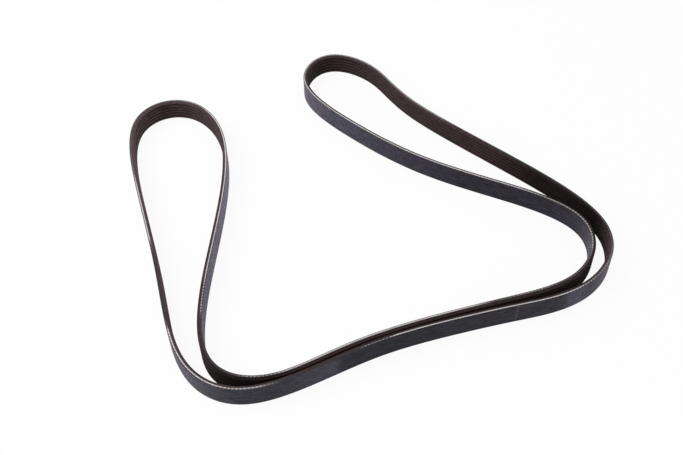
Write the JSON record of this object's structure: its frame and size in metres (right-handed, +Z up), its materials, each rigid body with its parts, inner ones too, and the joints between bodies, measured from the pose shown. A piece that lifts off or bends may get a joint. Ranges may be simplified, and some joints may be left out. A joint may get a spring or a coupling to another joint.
{
  "type": "serpentine belt",
  "caption": "Ribbed serpentine drive belt for car engine accessories, standing on its edge in a long folded loop.",
  "frame": {"origin": "middle of the footprint, at floor level, where the lower cut edge rests", "axes": "+Z up across the belt's width, +Y away from the camera of the picture, +X to its right"},
  "size_m": [0.4476, 0.4218, 0.0214],
  "materials": {
    "belt_rubber": "matt black rubber with a fine fabric back, brownish fibre-filled ribs and pale cord showing in the cut edges"
  },
  "bodies": {
    "root": {"belt": "belt_rubber"}
  },
  "joints": []
}
